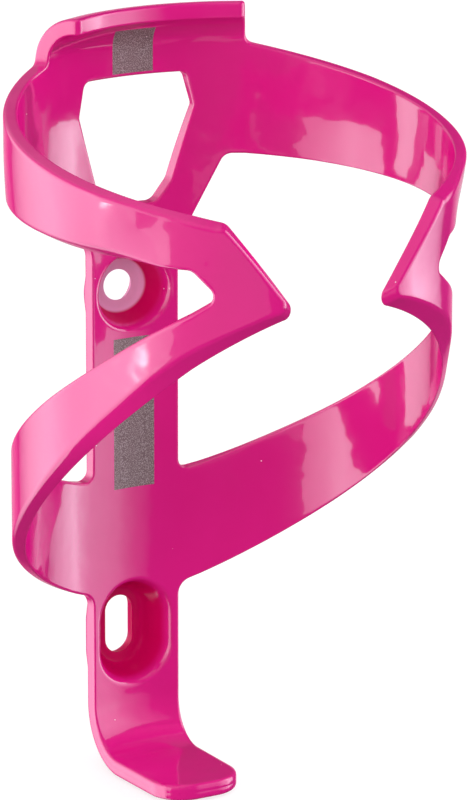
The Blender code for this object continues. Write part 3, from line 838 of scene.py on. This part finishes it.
bare = maths("SUBTRACT", maths("SUBTRACT", 1.0, dull), shaded_walls, True)
links.new(maths("MULTIPLY", bare, held(*COAT_HELD)), shader.inputs["Coat Weight"])
shine = maths("SUBTRACT", SHINE, maths("MULTIPLY", shaded_walls, WALL_SHINE_LOSS))
links.new(maths("MULTIPLY", shine, held(*SHINE_HELD)), shader.inputs["Specular IOR Level"])
links.new(maths("MULTIPLY", ink, FLAKE_METAL), shader.inputs["Metallic"])
shader.inputs["Coat Roughness"].default_value = COAT_ROUGHNESS
ripple = nodes.new("ShaderNodeBump")
ripple.inputs["Strength"].default_value = RIPPLE_STRENGTH
ripple.inputs["Distance"].default_value = RIPPLE_HEIGHT
links.new(noise(RIPPLE_SCALE), ripple.inputs["Height"])
links.new(ripple.outputs["Normal"], shader.inputs["Normal"])
links.new(ripple.outputs["Normal"], shader.inputs["Coat Normal"])


# The back of the cage and its two spring arms: one moulding of nylon, which is bolted to the bicycle frame
# by the back alone. The real arms run on from it without a joint and flex; here each is an object of its
# own.
back = skin("cage_back", BACK)
back.data.materials.append(nylon)
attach(back, "backbone")
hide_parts("spine", "upper_bolt_boss", "lower_bolt_boss", "bottle_foot",
            "left_shoulder", "right_shoulder", "crown")
for name, owner in (("left", LEFT), ("right", RIGHT)):
    arm = skin(name + "_arm_band", owner)
    arm.data.materials.append(nylon)
    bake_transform(arm)
    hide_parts(name + "_upper_arm", name + "_nose", name + "_lower_arm")


# The floor: a sheet of pale paper under the foot, white to the camera and faintly shaded by the cage. It
# shows in no reflection, so that the nylon mirrors the lamps and the room instead.
FLOOR_HALF = 1.0
FLOOR_HEIGHT = -0.0565
PAPER = (0.3, 0.3, 0.3, 1.0)
PAPER_GLOW = 0.75
mesh = bpy.data.meshes.new("floor")
floor_corners = [(x * FLOOR_HALF, y * FLOOR_HALF, FLOOR_HEIGHT)
                 for x, y in ((-1, -1), (1, -1), (1, 1), (-1, 1))]
mesh.from_pydata(floor_corners, [], [(0, 1, 2, 3)])
floor = bpy.data.objects.new("floor", mesh)
bpy.context.scene.collection.objects.link(floor)
floor.visible_glossy = False
floor.visible_diffuse = False
floor.visible_shadow = False
paper = bpy.data.materials.new("paper")
paper.use_nodes = True
floor.data.materials.append(paper)
nodes, links = paper.node_tree.nodes, paper.node_tree.links
nodes.remove(nodes["Principled BSDF"])
matt = nodes.new("ShaderNodeBsdfDiffuse")
matt.inputs["Color"].default_value = PAPER
glow = nodes.new("ShaderNodeEmission")
glow.inputs["Strength"].default_value = PAPER_GLOW
both = nodes.new("ShaderNodeAddShader")
links.new(matt.outputs[0], both.inputs[0])
links.new(glow.outputs[0], both.inputs[1])
links.new(both.outputs[0], nodes["Material Output"].inputs["Surface"])


# The room: dim all round, brighter towards a wall high on the left and towards the backdrop behind the cage,
# and plain white where the camera sees it.
WALL_WAY, WALL_SPREAD, WALL_LEVELS = (-0.70, 0.35, 0.62), (0.15, 0.65), (0.05, 0.50)
BACKDROP_WAY, BACKDROP_SPREAD, BACKDROP_LEVELS = (0.493, 0.832, -0.255), (0.84, 0.97), (0.0, 0.75)
world = bpy.data.worlds.new("studio")
world.use_nodes = True
nodes, links = world.node_tree.nodes, world.node_tree.links
way = nodes.new("ShaderNodeTexCoord").outputs["Generated"]


def towards(direction, spread, levels):
    """Brightness round a direction: a smoothstep between two levels of the cosine of the angle from it."""
    cosine = nodes.new("ShaderNodeVectorMath")
    cosine.operation = "DOT_PRODUCT"
    cosine.inputs[1].default_value = direction
    links.new(way, cosine.inputs[0])
    node = nodes.new("ShaderNodeMapRange")
    node.interpolation_type = "SMOOTHSTEP"
    for socket, value in zip(("From Min", "From Max", "To Min", "To Max"), spread + levels):
        node.inputs[socket].default_value = value
    links.new(cosine.outputs["Value"], node.inputs["Value"])
    return node.outputs["Result"]


total = nodes.new("ShaderNodeMath")
links.new(towards(WALL_WAY, WALL_SPREAD, WALL_LEVELS), total.inputs[0])
links.new(towards(BACKDROP_WAY, BACKDROP_SPREAD, BACKDROP_LEVELS), total.inputs[1])
pick = nodes.new("ShaderNodeMix")
pick.inputs["B"].default_value = 1.0
links.new(nodes.new("ShaderNodeLightPath").outputs["Is Camera Ray"], pick.inputs["Factor"])
links.new(total.outputs["Value"], pick.inputs["A"])
nodes["Background"].inputs["Color"].default_value = (1.0, 1.0, 1.0, 1.0)
links.new(pick.outputs["Result"], nodes["Background"].inputs["Strength"])
bpy.context.scene.world = world


# The lamps: two upright soft boxes and two pale cards on the floor, which the gloss mirrors, one small lamp
# for the streak on the left lower arm, and broad fills that even out the shade and show in no reflection.
# A profile of a soft box holds values up to 1, so its radiances are given to it as shares of PANEL_TOP.
LAMP_MIDDLE = Vector((0.0, AXIS_Y, 0.02))
PANEL_DISTANCE = 1.1
PANEL_TOP = 5.0


def hang(name, light, place, facing):
    """Lamp at a place, unseen by the camera, that shines against a direction facing away from the cage."""
    lamp = bpy.data.objects.new(name, light)
    lamp.matrix_world = Matrix.Translation(place) @ facing.to_track_quat("Z", "Y").to_matrix().to_4x4()
    lamp.visible_camera = False
    bpy.context.scene.collection.objects.link(lamp)
    return lamp


def rectangle(name, wide, tall, radiance):
    """Rectangular lamp of a radiance: its power is pi times its area times that radiance."""
    light = bpy.data.lights.new(name, "AREA")
    light.shape = "RECTANGLE"
    light.size, light.size_y = wide, tall
    light.energy = math.pi * light.size * light.size_y * radiance
    return light


def panel(name, tint, middle, half, low, high, across, upwards, edge=()):
    """Upright soft light round an azimuth from the front, between two elevations, all in degrees.

    Its radiance is the product of two profiles: across, by azimuth, and upwards, by elevation. An edge,
    given as azimuths by elevation, ends it on the right.
    """
    turn = math.radians(middle)
    span = math.tan(math.radians(half))
    bottom, top = math.tan(math.radians(low)), math.tan(math.radians(high))
    light = rectangle(name, 2 * PANEL_DISTANCE * span, PANEL_DISTANCE * (top - bottom), PANEL_TOP ** 2)
    light.use_nodes = True
    light.color = tint
    nodes, links = light.node_tree.nodes, light.node_tree.links
    spread = nodes.new("ShaderNodeSeparateXYZ")
    links.new(nodes.new("ShaderNodeNewGeometry").outputs["Parametric"], spread.inputs["Vector"])

    def at_azimuth(angle):
        """Place across the panel of an azimuth: the tangent of its angle from the middle, over the span."""
        return 0.5 + 0.5 * math.tan(math.radians(angle - middle)) / span

    def at_elevation(angle):
        """Place up the panel of an elevation: its tangent, as a share of the way from bottom to top."""
        return (math.tan(math.radians(angle)) - bottom) / (top - bottom)

    def profile(axis, stops):
        """Straight stretches between stops, read along one axis of the panel."""
        ramp = nodes.new("ShaderNodeFloatCurve")
        points = ramp.mapping.curves[0].points
        while len(points) < len(stops):
            points.new(0.5, 0.5)
        for point, stop in zip(points, stops):
            point.location = stop
            point.handle_type = "VECTOR"
        ramp.mapping.update()
        links.new(spread.outputs[axis], ramp.inputs["Value"])
        return ramp.outputs["Value"]

    def combined(operation, first, second):
        """One scalar operation on two sockets."""
        node = nodes.new("ShaderNodeMath")
        node.operation = operation
        links.new(first, node.inputs[0])
        links.new(second, node.inputs[1])
        return node.outputs["Value"]

    by_azimuth = profile("X", [(at_azimuth(angle), value / PANEL_TOP) for angle, value in across])
    by_elevation = profile("Y", [(at_elevation(angle), value / PANEL_TOP) for angle, value in upwards])
    strength = combined("MULTIPLY", by_azimuth, by_elevation)
    if edge:
        end = profile("Y", [(at_elevation(up), at_azimuth(angle)) for up, angle in edge])
        strength = combined("MULTIPLY", strength, combined("LESS_THAN", spread.outputs["X"], end))
    links.new(strength, nodes["Emission"].inputs["Strength"])
    outward = Vector((math.sin(turn), -math.cos(turn), 0.0))
    centre = outward * PANEL_DISTANCE + LAMP_MIDDLE + Vector((0.0, 0.0, PANEL_DISTANCE * (top + bottom) / 2))
    return hang(name, light, centre, outward)


LEFT_ACROSS = ((-175, 0.3), (-160, 0.9), (-150, 1.25), (-142, 1.75), (-132, 2.2), (-110, 2.1), (-101, 2.3),
               (-95, 2.6), (-90, 2.4), (-85, 2.0), (-80, 1.7), (-70, 1.4), (-55, 1.2))
LEFT_UPWARDS = ((-70, 0.8), (-30, 1.0), (8, 1.0), (25, 0.6), (40, 0.3))
LEFT_EDGE = ((-70, -92), (-47, -86), (-35, -76), (-25, -70), (-20, -64), (-16, -58), (-12, -63), (-8, -66),
             (0, -62), (40, -60))
RIGHT_ACROSS = ((20, 0.1), (30, 0.6), (36, 1.0), (42, 1.5), (50, 1.7), (60, 1.8), (66, 2.4), (72, 3.8),
                (78, 2.8), (84, 2.0), (90, 1.4), (98, 0.5))
RIGHT_UPWARDS = ((-24, 0.7), (-12, 1.0), (25, 1.0), (45, 0.6))
left_softbox = panel("left_softbox", tint=(0.92, 1.0, 1.05), middle=-115.0, half=60.0, low=-70.0, high=40.0,
                     across=LEFT_ACROSS, upwards=LEFT_UPWARDS, edge=LEFT_EDGE)
left_softbox.visible_diffuse = False
panel("right_softbox", tint=(0.96, 1.03, 1.12), middle=59.0, half=39.0, low=-24.0, high=45.0,
      across=RIGHT_ACROSS, upwards=RIGHT_UPWARDS)

CARD_HEIGHT = -0.056
CARD_RADIANCE = 0.36
for name, (x, y), (wide, deep) in (("front_card", (-0.195, -0.365), (0.35, 0.27)),
                                   ("side_card", (-0.265, -0.175), (0.21, 0.11))):
    card = bpy.data.objects.new(name, rectangle(name, wide, deep, CARD_RADIANCE))
    card.matrix_world = Matrix.Translation((x, y, CARD_HEIGHT)) @ Matrix.Rotation(math.pi, 4, "X")
    card.visible_camera = False
    bpy.context.scene.collection.objects.link(card)

GLINT_PLACE = Vector((-0.2, -0.068, -0.0070))
GLINT_SIZE = (0.046, 0.018)
GLINT_RADIANCE = 8.0
glint = rectangle("glint", *GLINT_SIZE, GLINT_RADIANCE)
glint.use_nodes = True
nodes, links = glint.node_tree.nodes, glint.node_tree.links
from_middle = nodes.new("ShaderNodeVectorMath")
from_middle.operation = "DISTANCE"
from_middle.inputs[1].default_value = (0.5, 0.5, 0.0)
links.new(nodes.new("ShaderNodeNewGeometry").outputs["Parametric"], from_middle.inputs[0])
fade = nodes.new("ShaderNodeMapRange")
fade.interpolation_type = "SMOOTHERSTEP"
fade.inputs["From Max"].default_value = 0.5
fade.inputs["To Min"].default_value = 1.0
fade.inputs["To Max"].default_value = 0.0
links.new(from_middle.outputs["Value"], fade.inputs["Value"])
links.new(fade.outputs["Result"], nodes["Emission"].inputs["Strength"])
hang("glint", glint, GLINT_PLACE, Vector((-1, 0, 0))).visible_diffuse = False

FILL_SIZE = 1.6
FILL_DISTANCE = 1.4
# Name, azimuth, elevation and radiance of each fill.
FILLS = (("camera_fill", -30.0, 20.0, 1.85), ("front_fill", 35.0, 10.0, 0.5),
         ("right_fill", 110.0, 10.0, 2.0), ("low_fill", -30.0, -60.0, 0.9), ("top_fill", 20.0, 75.0, 0.9),
         ("left_fill", -85.0, -5.0, 1.25), ("far_left_fill", -140.0, -5.0, 2.7))
for name, azimuth, elevation, radiance in FILLS:
    across, up = math.radians(azimuth), math.radians(elevation)
    outward = Vector((math.sin(across) * math.cos(up), -math.cos(across) * math.cos(up), math.sin(up)))
    light = bpy.data.lights.new(name, "AREA")
    light.size = FILL_SIZE
    light.energy = math.pi * light.size ** 2 * radiance
    hang(name, light, outward * FILL_DISTANCE + LAMP_MIDDLE, outward).visible_glossy = False
bpy.context.scene.view_settings.view_transform = "Standard"


# The camera: a long lens from the front left and a little above, fitted to the outline of the cage. It is
# aimed from a point close to the bottle's axis, midway between the bolts, moved by pixels of the picture.
AZIMUTH, ELEVATION, ROLL = math.radians(-30.81), math.radians(14.98), math.radians(0.09)
DISTANCE = 0.9023
LENS = 231.51
AIM_FROM = Vector((0.0, -0.04315, 0.0))
AIM_RIGHT, AIM_UP = 4.05, 108.8
PIXELS_PER_METRE = 5700
away = Vector((math.sin(AZIMUTH) * math.cos(ELEVATION), -math.cos(AZIMUTH) * math.cos(ELEVATION),
               math.sin(ELEVATION)))
sideways = Vector((math.cos(AZIMUTH), math.sin(AZIMUTH), 0.0))
upright = away.cross(sideways)
right = sideways * math.cos(ROLL) + upright * math.sin(ROLL)
above = upright * math.cos(ROLL) - sideways * math.sin(ROLL)
look_at = AIM_FROM + right * (AIM_RIGHT / PIXELS_PER_METRE) + above * (AIM_UP / PIXELS_PER_METRE)
data = bpy.data.cameras.new("camera")
data.sensor_fit = "VERTICAL"
data.sensor_height = 36.0
data.lens = LENS
data.clip_end = 20.0
camera = bpy.data.objects.new("camera", data)
turned = Matrix((right, above, away)).transposed().to_4x4()
camera.matrix_world = Matrix.Translation(look_at + away * DISTANCE) @ turned
bpy.context.scene.collection.objects.link(camera)
bpy.context.scene.camera = camera
